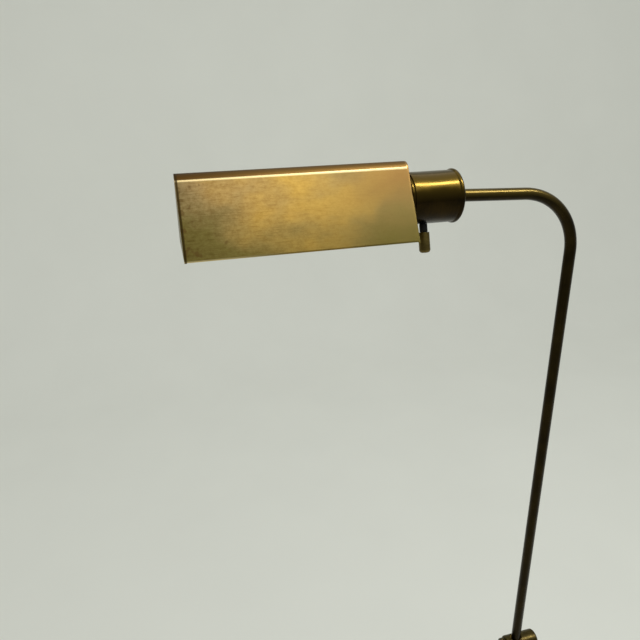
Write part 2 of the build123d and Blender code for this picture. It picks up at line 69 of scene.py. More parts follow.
LIP_GAP = 1.1 * MM
END_EDGE_R = 0.8 * MM
COLLAR_BORE_R = 6.4 * MM
COLLAR_SEAT = 4.5 * MM
SPIGOT_R = 4.8 * MM
SPIGOT_BORE_R = 3.2 * MM
FERRULE_BORE_R = 4.05 * MM
FERRULE_WALL = 2.0 * MM
GROMMET_BORE_R = 2.7 * MM
GROMMET_LIP_H = 2.0 * MM
GROMMET_R = 4.0 * MM
FLANGE_LIP_H = 2.4 * MM
FLANGE_NECK_R = 8.8 * MM
FLANGE_NECK_H = 12.7 * MM
FLANGE_SCOOP = 0.3
BASE_EDGE_R = 6.0 * MM
BASE_EDGE_Z = 12.0 * MM
BASE_DOME_R = 860.0 * MM
BASE_HOLE_R = 5.5 * MM
COVER_WALL = 1.2 * MM
FELT_EDGE_R = 0.8 * MM
KNOB_RIM_L = 5.2 * MM
KNOB_CROWN_R = 8.0 * MM
KNOB_CROWN_EDGE_R = 2.9 * MM
KNOB_FLUTES = 24
POINTS_PER_FLUTE = 4
KNOB_FLUTE_DEPTH = 0.7 * MM
SWITCH_LEAN = math.radians(15.0)
SWITCH_KNOB_R = 5.6 * MM
SWITCH_KNOB_TOP = 34.0 * MM
SWITCH_KNOB_BOTTOM = 54.4 * MM
SWITCH_KNOB_END_R = 3.2 * MM
SHAFT_R = 3.2 * MM
SHAFT_TOP = 21.1 * MM
SWITCH_HOLE_R = 3.6 * MM
SWITCH_CUT = 2 * SWITCH_HOLE_R
SWITCH_COLLAR_R = 4.0 * MM
SWITCH_COLLAR_GAP = 0.2 * MM
RIVET_R = 3.0 * MM
RIVET_H = 1.2 * MM
RIVET_CROWN_OUT = 0.7
RIVET_CROWN_UP = 0.6
SCREW_HEAD_R = 2.8 * MM
SCREW_HEAD_H = 1.8 * MM
SCREW_SHANK_R = 1.5 * MM
SCREW_EDGE_R = 0.6 * MM
SCREW_SLOT_W = 0.9 * MM
SCREW_SLOT_D = 0.8 * MM
SCREW_PCR = 21.0 * MM
SCREW_ANGLES = (90.0, 210.0, 330.0)
SOCKET_WELL_R = 14.2 * MM
SOCKET_WELL_L = 31.0 * MM

# How finely round forms are cut, how sharp an edge may be before it is left unsmoothed, and what counts
# as the square rim of a disc.
AROUND = 96
TUBE_AROUND = 48
ARC_STEP = 5.0
SOFT_EDGE = 0.3 * MM
SHARP = math.radians(35.0)
SQUARE_RIM = math.radians(80.0)
WELD = 0.002 * MM

# Camera, matched to the photograph: yaw turns from +Y towards +X, pitch looks down.
CAMERA_AT = (-0.4455, -0.5371, 1.3246)
CAMERA_YAW = math.radians(14.685)
CAMERA_PITCH = math.radians(21.671)
CAMERA_ROLL = math.radians(1.317)
SENSOR = 36.0
LENS = 32.83
CLIP_START = 0.01

# Light and background.
WORLD_GREY = "#8E918B"
BACKDROP_COLOUR = "#E6E8DF"
BACKDROP_SECOND = "#E1E3DA"
BACKDROP_CLOUD_MM = 300.0
BACKDROP_OWN_SHARE = 0.45
KEY_ELEVATION = math.radians(68.0)
KEY_DISTANCE = 1.25
KEY_SIZE = (1.20, 0.20)
KEY_SIDE = 0.95
KEY_POWER = 19.0
FILL_DIRECTION = (0.15, -0.65, 0.74)
FILL_DISTANCE = 1.7
FILL_SIZE = (0.75, 0.6)
FILL_POWER = 1.25
ROOF_HEIGHT = 2.7
ROOF_SIZE = (2.4, 2.4)
ROOF_POWER = 13.0
FLOOR_DROP = 0.2 * MM
FLOOR_FRONT = -6.0
FLOOR_BACK = 1.9
SWEEP_R = 0.9
WALL_TOP = 6.0
FLOOR_HALF_W = 14.0

# Places read from the frame.
CUP_LOW, CUP_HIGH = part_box("socket_cup")
AXIS_Z = (CUP_LOW.z + CUP_HIGH.z) / 2
CUP_FRONT_X = CUP_LOW.x
CUP_BACK_X = CUP_HIGH.x
SHADE_LOW, SHADE_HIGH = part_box("shade_shell")
SHADE_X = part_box("cup_neck")[0].x
ROD_LOW, ROD_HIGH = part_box("bent_rod")
STEM_LOW, STEM_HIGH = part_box("stem_tube")
TUBE_R = (STEM_HIGH.x - STEM_LOW.x) / 2
ROD_X = ROD_HIGH.x - TUBE_R
BARREL_LOW, BARREL_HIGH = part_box("clamp_barrel")
BARREL_Z = (BARREL_LOW.z + BARREL_HIGH.z) / 2
BARREL_R = BARREL_HIGH.y
SHAFT_LOW, SHAFT_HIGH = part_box("switch_shaft")
SWITCH_X = (SHAFT_LOW.x + SHAFT_HIGH.x) / 2
SWITCH_TURN = Matrix.Rotation(math.pi - SWITCH_LEAN, 4, "X")
SWITCH_PLACE = Matrix.Translation((SWITCH_X, 0, AXIS_Z)) @ SWITCH_TURN

# The rod's bend: how far it turns, how far it stays from the corner where its two straight runs would
# meet, how high that corner is, and how long the upright run is.
BEND = math.pi / 2 - ARM_RISE
TANGENT_L = BEND_R * math.tan(BEND / 2)
CORNER_Z = AXIS_Z - (ROD_X - CUP_BACK_X) * math.tan(ARM_RISE)
UPRIGHT_L = CORNER_Z - TANGENT_L - ROD_LOW.z

# Shade section, measured from the cup's axis: the panels lean out by the slant below the round ridge.
RIDGE_Z = SHADE_HIGH.z - RIDGE_R - AXIS_Z
FOOT_Z = SHADE_LOW.z - AXIS_Z
HALF_W = SHADE_HIGH.y
FALL = RIDGE_Z - FOOT_Z
SLANT = math.acos(RIDGE_R / math.hypot(HALF_W, FALL)) - math.atan2(FALL, HALF_W)
RIDGE_TURN = 180.0 - 2 * math.degrees(SLANT)

# Turns a section that is drawn in X and Z, and runs along +Y, so that it runs towards -X.
QUARTER_TURN = Matrix.Rotation(math.radians(90), 4, "Z")

# Scales that draw noise out along the marks of each kind of work.
ROLLED = (0.7, 1.0, 1.0)
RUBBED = (0.08, 1.0, 1.0)
TURNED_LEVEL = (1.0, 0.03, 0.03)
TURNED_UPRIGHT = (0.03, 0.03, 1.0)
DRAWN = (1.0, 1.0, 0.02)

# Finish of the shade's sheet: sizes of its features, and how far outside the sheet its end seam lies.
SHEET_CLOUD_MM = 55.0
SHEET_GRAIN_MM = 3.4
SHEET_RUB_MM = 1.2
SHEET_STAIN_MM = 7.0
SEAM_OUT = 0.8 * MM

# Shine of the other finishes: lacquer, and how far roughness strays from its middle, as a difference on
# the dark brasses and as a factor on the grained ones.
LACQUER_ROUGHNESS = 0.16
DARK_SHINIER = 0.04
DARK_DULLER = 0.07
GRAINED_SHINIER = 0.8
GRAINED_DULLER = 1.2

# Painted highlights: on the cup from its axis up, on the arm along the bend and from the tube's side to
# its top.
LIT_TOP_BAND = 12.0 * MM
LIT_TOP_SHARE = 0.75
ARM_HIGHLIGHT_FROM = 35.0 * MM
ARM_HIGHLIGHT_FULL = 80.0 * MM
ARM_HIGHLIGHT_EDGE = -0.15 * TUBE_R
ARM_HIGHLIGHT_TOP = 0.25 * TUBE_R
ARM_HIGHLIGHT_SHARE = 0.8

Arc = namedtuple("Arc", "centre degrees")


# Mesh helpers.
def outline(bm, start, *moves):
    """Draws a wire of (across, up) points.

    A plain point is reached by a straight line, and an Arc turns about its centre.
    """
    pen = bm.verts.new((start[0], 0, start[1]))
    for move in moves:
        if isinstance(move, Arc):
            turned_wire = bmesh.ops.spin(
                bm,
                geom=[pen],
                cent=(move.centre[0], 0, move.centre[1]),
                axis=(0, -1, 0),
                angle=math.radians(move.degrees),
                steps=math.ceil(abs(move.degrees) / ARC_STEP),
            )
            pen = turned_wire["geom_last"][0]
        else:
            pen = bmesh.ops.extrude_vert_indiv(bm, verts=[pen])["verts"][0]
            pen.co = (move[0], 0, move[1])


def arc_through(start, middle, end):
    """The Arc from start to end that passes through middle."""
    a, b, c = (Vector(point) for point in (start, middle, end))
    ab, ac = b - a, c - a
    cross = 2 * (ab.x * ac.y - ab.y * ac.x)
    centre = a + Vector(
        (
            (ac.y * ab.length_squared - ab.y * ac.length_squared) / cross,
            (ab.x * ac.length_squared - ac.x * ab.length_squared) / cross,
        )
    )
    turn = (c - centre).angle_signed(a - centre)
    if turn * cross < 0:
        turn += math.copysign(2 * math.pi, cross)
    return Arc(tuple(centre), math.degrees(turn))


def close_up(bm):
    """Merges what meets and turns every face outwards."""
    bmesh.ops.remove_doubles(bm, verts=bm.verts[:], dist=WELD)
    bmesh.ops.recalc_face_normals(bm, faces=bm.faces[:])


def turn_once(bm):
    """Spins the wire once round the upright axis."""
    bmesh.ops.spin(
        bm,
        geom=bm.verts[:] + bm.edges[:],
        cent=(0, 0, 0),
        axis=(0, 0, 1),
        angle=2 * math.pi,
        steps=AROUND,
        use_merge=True,
    )
    close_up(bm)


def soften(bm, radius, edges=None, segments=3):
    """Rounds the given edges, or every sharp edge."""
    if edges is None:
        edges = [e for e in bm.edges if len(e.link_faces) == 2 and e.calc_face_angle() > SHARP]
    bmesh.ops.bevel(
        bm,
        geom=edges,
        offset=radius,
        offset_type="OFFSET",
        affect="EDGES",
        segments=segments,
        profile=0.5,
        material=-1,
        clamp_overlap=True,
    )


def turned(start, *moves, soft=SOFT_EDGE):
    """A turned part about the upright axis, from a closed outline of (radius, height)."""
    bm = bmesh.new()
    outline(bm, start, *moves, start)
    turn_once(bm)
    if soft:
        soften(bm, soft)
    return bm


def level_at(x, z, y=0, way=1):
    """A place whose upright axis lies along +X, or along -X if the way is -1."""
    return Matrix.Translation((x, y, z)) @ Matrix.Rotation(math.radians(90 * way), 4, "Y")


def carry(bm, made, way):
    """Moves the points that an extrusion made."""
    points = [v for v in made["geom"] if isinstance(v, bmesh.types.BMVert)]
    bmesh.ops.translate(bm, verts=points, vec=way)


def add_to(bm, other):
    """Moves another mesh's faces into this one."""
    carrier = bpy.data.meshes.new("carrier")
    other.to_mesh(carrier)
    other.free()
    bm.from_mesh(carrier)
    bpy.data.meshes.remove(carrier)


def drilled(bm, radius, near, far, place):
    """Cuts a round hole along the place's upright axis, between two distances from its origin."""
    drill = turned((0, near), (radius, near), (radius, far), (0, far), soft=0)
    bmesh.ops.transform(drill, matrix=place, verts=drill.verts[:])
    holders = []
    for shape in (bm, drill):
        mesh = bpy.data.meshes.new("carrier")
        shape.to_mesh(mesh)
        shape.free()
        holders.append(bpy.data.objects.new("carrier", mesh))
        bpy.context.scene.collection.objects.link(holders[-1])
    cut = holders[0].modifiers.new("hole", "BOOLEAN")
    cut.object = holders[1]
    graph = bpy.context.evaluated_depsgraph_get()
    mesh = bpy.data.meshes.new_from_object(holders[0].evaluated_get(graph))
    bm = bmesh.new()
    bm.from_mesh(mesh)
    for used in [holder.data for holder in holders] + [mesh]:
        bpy.data.meshes.remove(used)
    return bm


def piece(name, bm, body, slot, finish, *nodes, place=None):
    """Makes a finished piece that rides on a body and stands for its CAD nodes."""
    if place is not None:
        bmesh.ops.transform(bm, matrix=place, verts=bm.verts[:])
    for face in bm.faces:
        face.smooth = True
    for edge in bm.edges:
        edge.smooth = len(edge.link_faces) != 2 or edge.calc_face_angle() < SHARP
    mesh = bpy.data.meshes.new(name)
    bm.to_mesh(mesh)
    bm.free()
    mesh.materials.append(finish)
    made = bpy.data.objects.new(name, mesh)
    bpy.context.scene.collection.objects.link(made)
    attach(made, body)
    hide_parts(*nodes)


# Shader helpers.
def linear(code):
    """Turns a hex sRGB colour into the linear colour that a shader takes."""
    parts = [int(code[at : at + 2], 16) / 255 for at in (1, 3, 5)]
    return [p / 12.92 if p <= 0.04045 else ((p + 0.055) / 1.055) ** 2.4 for p in parts] + [1.0]


def per_metre(size_mm):
    """The texture scale that makes a pattern's features about this many millimetres wide."""
    return 1000.0 / size_mm


def add(tree, kind, inputs=None, **settings):
    """Adds a shader node, with its settings and what goes into its sockets."""
    node = tree.nodes.new("ShaderNode" + kind)
    for name, value in settings.items():
        setattr(node, name, value)
    for socket, value in (inputs or {}).items():
        if isinstance(value, bpy.types.NodeSocket):
            tree.links.new(value, node.inputs[socket])
        else:
            node.inputs[socket].default_value = value
    return node


def new_material(name, **constants):
    """An empty material with one shader, its constant sockets set."""
    material = bpy.data.materials.new(name)
    material.use_nodes = True
    tree = material.node_tree
    tree.nodes.clear()
    shader = add(tree, "BsdfPrincipled")
    for socket, value in constants.items():
        shader.inputs[socket.replace("_", " ")].default_value = value
    add(tree, "OutputMaterial", {"Surface": shader.outputs["BSDF"]})
    return material, tree, shader


# Mix node sockets for colours: factor 0, first colour 6, second colour 7, result 2.
def aged_sheet_brass():
    """Rolled sheet, rubbed along its length by hand, its lacquer worn off.

    It gives a satin gold with grey brown and olive clouds, a fine grain and faint lengthwise rub marks,
    a few small stains and a dark seam at the outer end. Painted light lies over these: painted shade
    towards both ends, the foot and the upper inner corner, and over the seam's rounded edge, a ridge
    painted a darker brown as painted shade, and a painted highlight along the bend and the outer hem.
    """
    material, tree, shader = new_material("aged_sheet_brass", Metallic=1.0)
    where = add(tree, "TexCoord").outputs["Object"]
    rolled = add(tree, "Mapping", {"Vector": where, "Scale": ROLLED}).outputs["Vector"]
    rubbed = add(tree, "Mapping", {"Vector": where, "Scale": RUBBED}).outputs["Vector"]
    noise = {}
    for name, follows, size_mm, detail, roughness in (
        ("clouds", rolled, SHEET_CLOUD_MM, 3.0, 0.5),
        ("grain", rolled, SHEET_GRAIN_MM, 5.0, 0.8),
        ("marks", rubbed, SHEET_RUB_MM, 3.0, 0.5),
        ("spots", where, SHEET_STAIN_MM, 1.0, 0.5),
    ):
        pattern = {"Scale": per_metre(size_mm), "Detail": detail, "Roughness": roughness}
        noise[name] = add(tree, "TexNoise", {"Vector": follows, **pattern}).outputs["Fac"]
    clouds, grain, marks, spots = noise["clouds"], noise["grain"], noise["marks"], noise["spots"]
    place = add(tree, "SeparateXYZ", {"Vector": where})
    x, z = place.outputs["X"], place.outputs["Z"]
    from_seam = add(tree, "Math", {0: x, 1: SHADE_LOW.x - SEAM_OUT}, operation="SUBTRACT").outputs[0]
    off_seam = add(tree, "Math", {0: from_seam}, operation="ABSOLUTE").outputs[0]

    # Masks that follow the form, for tarnish, wear and painted light: what it follows, where it starts,
    # where it is full and how strong it is.
    bend_z = SHADE_HIGH.z - RIDGE_R * (1 - math.sin(SLANT))
    wear_and_painted_light = {}
    for name, follows, start, full, most in (
        ("outer_end", x, SHADE_LOW.x + 90 * MM, SHADE_LOW.x, 0.34),
        ("inner_end", x, SHADE_HIGH.x - 120 * MM, SHADE_HIGH.x, 0.4),
        ("handled", x, SHADE_HIGH.x + 60 * MM, SHADE_LOW.x, 0.62),
        ("rubbed", x, SHADE_HIGH.x + 30 * MM, SHADE_LOW.x, 0.36),
        ("foot", z, SHADE_LOW.z + 60 * MM, SHADE_LOW.z, 0.42),
        ("sheet", x, SHADE_HIGH.x + 0.3 * MM, SHADE_HIGH.x, 1.0),
        ("above_bend", z, bend_z - 1.2 * MM, bend_z - 0.4 * MM, 1.0),
        ("above_line", z, bend_z + 0.3 * MM, bend_z + 1.1 * MM, 1.0),
        ("inner_corner", x, SHADE_HIGH.x - 75 * MM, SHADE_HIGH.x - 10 * MM, 0.5),
        ("upper_corner", z, bend_z - 34 * MM, bend_z - 8 * MM, 0.5),
        ("outer_hem", x, SHADE_LOW.x + 90 * MM, SHADE_LOW.x + 30 * MM, 0.8),
        ("hem", z, SHADE_LOW.z + 1.9 * MM, SHADE_LOW.z + 1.2 * MM, 1.0),
        ("seam", off_seam, 1.4 * MM, 0.5 * MM, 1.0),
    ):
        limits = {"Value": follows, "From Min": start, "From Max": full, "To Max": most}
        wear_and_painted_light[name] = add(tree, "MapRange", limits).outputs[0]
    for name, first, how, second in (
        ("outer_clouds", clouds, "ADD", wear_and_painted_light["outer_end"]),
        ("inner_clouds", clouds, "ADD", wear_and_painted_light["inner_end"]),
        ("outer_spots", spots, "ADD", wear_and_painted_light["outer_end"]),
        ("bend", wear_and_painted_light["above_bend"], "MINIMUM", wear_and_painted_light["sheet"]),
        ("ridge", wear_and_painted_light["above_line"], "MINIMUM", wear_and_painted_light["sheet"]),
        ("corner", wear_and_painted_light["inner_corner"], "MINIMUM", wear_and_painted_light["upper_corner"]),
        ("hem_highlight", wear_and_painted_light["hem"], "MINIMUM", wear_and_painted_light["outer_hem"]),
    ):
        wear_and_painted_light[name] = add(tree, "Math", {0: first, 1: second}, operation=how).outputs[0]
    wear_and_painted_light["ridge_end"] = add(
        tree, "Math", {0: wear_and_painted_light["ridge"], 1: wear_and_painted_light["outer_end"]}, operation="MINIMUM"
    ).outputs[0]
    low = {0: wear_and_painted_light["outer_clouds"], 1: wear_and_painted_light["foot"]}
    low_clouds = add(tree, "Math", low, operation="ADD").outputs[0]
    line = add(tree, "Math", {0: wear_and_painted_light["bend"], 1: wear_and_painted_light["ridge"]}, operation="SUBTRACT").outputs[0]

    # Layers of colour, from the clouds to the seam: tarnish, grain and stains, with painted shade and
    # painted highlights among them.
    colour = linear("#B9964A")
    for follows, start, full, most, other, blend in (
        # The clouds at both ends and at the foot are partly tarnish and partly painted shade, darker
        # towards the ends and the foot.
        (wear_and_painted_light["outer_clouds"], 0.44, 0.85, 0.9, "#A18C6D", "MIX"),
        (wear_and_painted_light["inner_clouds"], 0.44, 0.85, 0.9, "#877344", "MIX"),
        (low_clouds, 0.66, 1.1, 0.92, "#796E37", "MIX"),
        # Painted shade: a darker brown over the upper part of the panels near the inner end.
        (wear_and_painted_light["corner"], 0.0, 0.5, 0.9, "#88683A", "MIX"),
        (grain, 0.40, 0.68, wear_and_painted_light["handled"], "#B39A72", "MULTIPLY"),
        (marks, 0.48, 0.72, wear_and_painted_light["rubbed"], "#AE9A78", "MULTIPLY"),
        (wear_and_painted_light["outer_spots"], 0.92, 1.0, 0.55, "#5E4322", "MIX"),
        # Painted highlight: a cream line just below the ridge, along the bend.
        (wear_and_painted_light["bend"], 0.0, 1.0, 1.0, "#EAD29A", "MIX"),
        # Painted shade: the ridge above the bend is a darker brown, darker still towards the outer end.
        (wear_and_painted_light["ridge"], 0.0, 1.0, 0.97, "#64481D", "MIX"),
        (wear_and_painted_light["ridge_end"], 0.0, 0.34, 0.7, "#A08C70", "MULTIPLY"),
        # Painted highlight: a pale line along the hem near the outer end.
        (wear_and_painted_light["hem_highlight"], 0.0, 1.0, 1.0, "#E3CD93", "MIX"),
        # Dark seam at the outer end: partly a dark joint, partly painted shade over the end plate's
        # rounded edge.
        (wear_and_painted_light["seam"], 0.0, 1.0, 0.9, "#3A2D14", "MIX"),
    ):
        limits = {"Value": follows, "From Min": start, "From Max": full, "To Max": most}
        share = add(tree, "MapRange", limits).outputs[0]
        layers = {0: share, 6: colour, 7: linear(other)}
        colour = add(tree, "Mix", layers, data_type="RGBA", blend_type=blend).outputs[2]
    tree.links.new(colour, shader.inputs["Base Color"])
    limits = {"Value": grain, "From Min": 0.3, "From Max": 0.7, "To Min": 0.31, "To Max": 0.38}
    dull = add(tree, "MapRange", limits).outputs[0]

    # The painted highlight line along the bend is shinier than the panels, and the ridge duller.
    for follows, change in ((line, 0.7), (wear_and_painted_light["ridge"], 1.4)):
        factor = add(tree, "MapRange", {"Value": follows, "To Min": 1.0, "To Max": change}).outputs[0]
        dull = add(tree, "Math", {0: dull, 1: factor}, operation="MULTIPLY").outputs[0]
    tree.links.new(dull, shader.inputs["Roughness"])
    relief = add(tree, "Bump", {"Height": marks, "Strength": 0.1, "Distance": 0.03 * MM}).outputs["Normal"]
    fine = {"Height": grain, "Strength": 0.25, "Distance": 0.06 * MM, "Normal": relief}
    tree.links.new(add(tree, "Bump", fine).outputs["Normal"], shader.inputs["Normal"])
    return material


def dark_brass(name, colours, grain, grain_mm, cloud_mm, roughness, lacquer=0.0, painted_light=None, painted_light_to=None):
    """Brass darkened by air and hands: clouds of brown patina, rubbed marks and an uneven shine.

    The grain gives where a point lies, and the same place scaled so that noise runs along the tool marks.
    The painted light, if given, gives the share of a painted highlight laid over the patina, in its own
    colour.
    """
    bright, brown, dark = (linear(colour) for colour in colours)
    coat = {"Coat_Weight": lacquer, "Coat_Roughness": LACQUER_ROUGHNESS}
    material, tree, shader = new_material(name, Metallic=1.0, **coat)
    where, along_marks = grain(tree)
    clouds = add(
        tree, "TexNoise", {"Vector": where, "Scale": per_metre(cloud_mm), "Detail": 5.0, "Roughness": 0.6}
    )
    marks = add(tree, "TexNoise", {"Vector": along_marks, "Scale": per_metre(grain_mm), "Detail": 3.0})
    limits = {"Value": clouds.outputs["Fac"], "From Min": 0.36, "From Max": 0.64}
    cloud_share = add(tree, "MapRange", limits)
    limits = {"Value": marks.outputs["Fac"], "From Min": 0.4, "From Max": 0.7, "To Max": 0.45}
    mark_share = add(tree, "MapRange", limits)
    clouded = add(tree, "Mix", {0: cloud_share.outputs[0], 6: bright, 7: brown}, data_type="RGBA")
    layers = {0: mark_share.outputs[0], 6: clouded.outputs[2], 7: dark}
    tone = add(tree, "Mix", layers, data_type="RGBA").outputs[2]
    if painted_light:
        layers = {0: painted_light(tree, where), 6: tone, 7: linear(painted_light_to)}
        tone = add(tree, "Mix", layers, data_type="RGBA").outputs[2]
    tree.links.new(tone, shader.inputs["Base Color"])
    shine = add(
        tree,
        "MapRange",
        {
            "Value": clouds.outputs["Fac"],
            "From Min": 0.3,
            "From Max": 0.7,
            "To Min": roughness - DARK_SHINIER,
            "To Max": roughness + DARK_DULLER,
        },
    )
    tree.links.new(shine.outputs[0], shader.inputs["Roughness"])
    relief = add(tree, "Bump", {"Height": marks.outputs["Fac"], "Strength": 0.1, "Distance": 0.015 * MM})
    tree.links.new(relief.outputs["Normal"], shader.inputs["Normal"])
    return material


def lathe_grain(tree):
    """Marks round an axis along X, as a lathe leaves them."""
    where = add(tree, "TexCoord").outputs["Object"]
    along = add(tree, "Mapping", {"Vector": where, "Scale": TURNED_LEVEL})
    return where, along.outputs["Vector"]


def upright_lathe_grain(tree):
    """Marks round an upright axis, as on the split bush."""
    where = add(tree, "TexCoord").outputs["Object"]
    along = add(tree, "Mapping", {"Vector": where, "Scale": TURNED_UPRIGHT})
    return where, along.outputs["Vector"]


def drawn_grain(tree):
    """Marks along a drawn tube, read from where each point lay before the tube was bent."""
    where = add(tree, "Attribute", attribute_name="straight").outputs["Vector"]
    along = add(tree, "Mapping", {"Vector": where, "Scale": DRAWN})
    return where, along.outputs["Vector"]


def spun_grain(tree):
    """Rings about the stem's axis, as on a spun cover."""
    where = add(tree, "TexCoord").outputs["Object"]
    flat = add(tree, "VectorMath", {0: where, 1: (1.0, 1.0, 0.0)}, operation="MULTIPLY")
    out = add(tree, "VectorMath", {0: flat.outputs["Vector"]}, operation="LENGTH")
    rings = add(tree, "CombineXYZ", {"X": out.outputs["Value"]})
    return where, rings.outputs["Vector"]


def painted_lit_top(tree, where):
    """The cup's upper side, painted lighter than its underside as a painted highlight."""
    height = add(tree, "SeparateXYZ", {"Vector": where}).outputs["Z"]
    limits = {"From Min": AXIS_Z, "From Max": AXIS_Z + LIT_TOP_BAND, "To Max": LIT_TOP_SHARE}
    return add(tree, "MapRange", {"Value": height, **limits}).outputs[0]


def painted_arm_highlight(tree, where):
    """The arm's upper side, painted lighter as a painted highlight. The upright keeps its dark skin."""
    place = add(tree, "SeparateXYZ", {"Vector": where})
    limits = {"From Min": UPRIGHT_L + ARM_HIGHLIGHT_FROM, "From Max": UPRIGHT_L + ARM_HIGHLIGHT_FULL}
    past_upright = add(tree, "MapRange", {"Value": place.outputs["Z"], **limits}).outputs[0]
    limits = {"From Min": ARM_HIGHLIGHT_EDGE, "From Max": ARM_HIGHLIGHT_TOP, "To Max": ARM_HIGHLIGHT_SHARE}
    upper = add(tree, "MapRange", {"Value": place.outputs["X"], **limits}).outputs[0]
    return add(tree, "Math", {0: past_upright, 1: upper}, operation="MULTIPLY").outputs[0]


def grained(name, colours, grain_mm, roughness, relief_mm, **constants):
    """A plain material whose colour, shine and surface vary with one grain size."""
    first, second = (linear(colour) for colour in colours)
    material, tree, shader = new_material(name, **constants)
    where = add(tree, "TexCoord").outputs["Object"]
    grain = add(tree, "TexNoise", {"Vector": where, "Scale": per_metre(grain_mm), "Detail": 4.0})
    share = add(tree, "MapRange", {"Value": grain.outputs["Fac"], "From Min": 0.35, "From Max": 0.65})
    tone = add(tree, "Mix", {0: share.outputs[0], 6: first, 7: second}, data_type="RGBA")
    tree.links.new(tone.outputs[2], shader.inputs["Base Color"])
    shine = add(
        tree,
        "MapRange",
        {
            "Value": grain.outputs["Fac"],
            "To Min": roughness * GRAINED_SHINIER,
            "To Max": min(1.0, roughness * GRAINED_DULLER),
        },
    )
    tree.links.new(shine.outputs[0], shader.inputs["Roughness"])
    surface = {"Height": grain.outputs["Fac"], "Strength": 0.5, "Distance": relief_mm * MM}
    relief = add(tree, "Bump", surface)
    tree.links.new(relief.outputs["Normal"], shader.inputs["Normal"])
    return material


# One finish for each slot. The numbers of a grained one are its grain in millimetres, its roughness and
# its relief in millimetres.
FINISHES = {
    "shade_brass": aged_sheet_brass(),
    # Spun cup, darkened: deep olive brown with a clear shine, a painted highlight that makes it lighter
    # above, and faint turning rings.
    "cup_brass": dark_brass(
        "dark_spun_brass",
        ("#2F2206", "#1E1502", "#0F0902"),
        lathe_grain,
        grain_mm=0.5,
        cloud_mm=22.0,
        roughness=0.21,
        lacquer=0.1,
        painted_light=painted_lit_top,
        painted_light_to="#634F1A",
    ),
    # Drawn tube, darkened all over: deep brown, with fine lines along its length and a painted olive
    # highlight on the arm's upper side.
    "tube_brass": dark_brass(
        "dark_drawn_brass",
        ("#2E240B", "#201805", "#120D04"),
        drawn_grain,
        grain_mm=0.6,
        cloud_mm=30.0,
        roughness=0.28,
        lacquer=0.07,
        painted_light=painted_arm_highlight,
        painted_light_to="#685729",
    ),
    # Turned from bar and left to dull: olive brown with turning rings.
    "turned_brass": dark_brass(
        "dull_turned_brass",
        ("#584C29", "#41371E", "#272010"),
        lathe_grain,
        grain_mm=0.4,
        cloud_mm=12.0,
        roughness=0.34,
    ),
    # Spun cover near the floor: brown gold with rings about its middle.
    "base_brass": dark_brass(
        "aged_spun_brass",
        ("#8C7440", "#69552C", "#3C2F18"),
        spun_grain,
        grain_mm=0.8,
        cloud_mm=50.0,
        roughness=0.28,
    ),
    # Bush and contacts inside, less exposed to air: brown yellow brass with turning rings.
    "bush_brass": dark_brass(
        "dim_turned_brass",
        ("#8E7440", "#6E582E", "#46371B"),
        upright_lathe_grain,
        grain_mm=0.4,
        cloud_mm=14.0,
        roughness=0.26,
    ),
    # Zinc plated: pale grey with a faint crystal bloom.
    "steel": grained("zinc_plated_steel", ("#B4B6B7", "#9A9C9D"), 2.0, 0.34, 0.01, Metallic=1.0),
    # Sand cast: dark grey skin with a coarse grain.
    "cast_iron": grained("sand_cast_iron", ("#3A3B3D", "#2B2B2C"), 1.6, 0.7, 0.25, Metallic=0.5),
    # Pressed wool felt: dark green, soft edged, no shine.
    "felt": grained(
        "pressed_felt", ("#2E3B31", "#222D25"), 0.5, 0.95, 0.3, Sheen_Weight=0.4, Sheen_Roughness=0.6
    ),
    # Pressed fibre: red brown with short flecks.
    "fibre": grained("pressed_fibre", ("#7A4A2C", "#5E3822"), 0.8, 0.6, 0.02),
    # Moulded phenolic: near black with a dull gloss.
    "black_plastic": grained(
        "moulded_phenolic", ("#161412", "#0F0D0C"), 3.0, 0.5, 0.01, Specular_IOR_Level=0.3
    ),
    # Glazed porcelain: cream, glossy, very slightly wavy.
    "porcelain": grained("glazed_porcelain", ("#E4DFD2", "#DCD6C7"), 8.0, 0.12, 0.02),
    # Frosted inside: milky, with soft light through it.
    "bulb_glass": grained(
        "frosted_glass", ("#F6F3EA", "#EFEBE0"), 4.0, 0.42, 0.01, Transmission_Weight=0.55, IOR=1.5
    ),
    # Rolled aluminium: pale and lightly scuffed.
    "bulb_metal": grained("rolled_aluminium", ("#CFCCC3", "#B9B6AD"), 1.5, 0.33, 0.02, Metallic=1.0),
}

# The switch knob: a lighter copy of the same turned brass, painted light against the shade it sits in
# under the cup: lighter olive gold.
LIGHTER_KNOB_BRASS = dark_brass(
    "lighter_turned_brass",
    ("#7E6D3C", "#5F512B", "#3A3018"),
    upright_lathe_grain,
    grain_mm=0.4,
    cloud_mm=9.0,
    roughness=0.34,
)


# Shade.
def on_panel(inset, down, side):
    """A point on one panel's sheet: so far in from its face, and so far down from the ridge's bend."""
    reach = RIDGE_R - inset
    across = reach * math.cos(SLANT) + down * math.sin(SLANT)
    up = RIDGE_Z + reach * math.sin(SLANT) - down * math.cos(SLANT)
    return (side * across, up)


def panel_down(inset, height):
    """How far down a panel a given height lies."""
    return (RIDGE_Z + (RIDGE_R - inset) * math.sin(SLANT) - height) / math.cos(SLANT)


